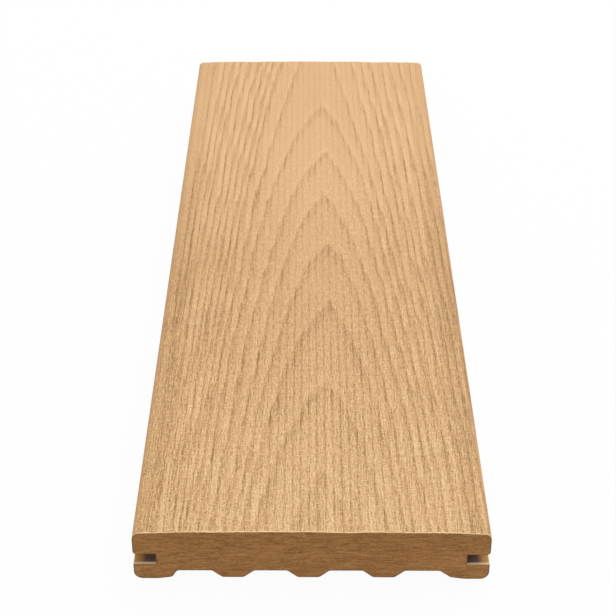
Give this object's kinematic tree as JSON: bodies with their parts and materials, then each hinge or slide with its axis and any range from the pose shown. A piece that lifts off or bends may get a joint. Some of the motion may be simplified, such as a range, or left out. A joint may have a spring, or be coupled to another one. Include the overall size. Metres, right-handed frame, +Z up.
{
  "type": "composite decking board",
  "caption": "Extruded wood-plastic decking board with an embossed wood-grain top, a clip groove along each side and a ribbed, hollowed underside.",
  "frame": {"origin": "middle of the plane that the two edge feet stand on", "axes": "+Z up through the walking face, +Y along the board, +X across it"},
  "size_m": [0.14, 0.45, 0.024],
  "materials": {
    "composite": "matte tan wood-plastic composite, embossed with wood grain on top; saw-cut brown core at the ends"
  },
  "bodies": {
    "root": {"decking_board": "composite"}
  },
  "joints": []
}
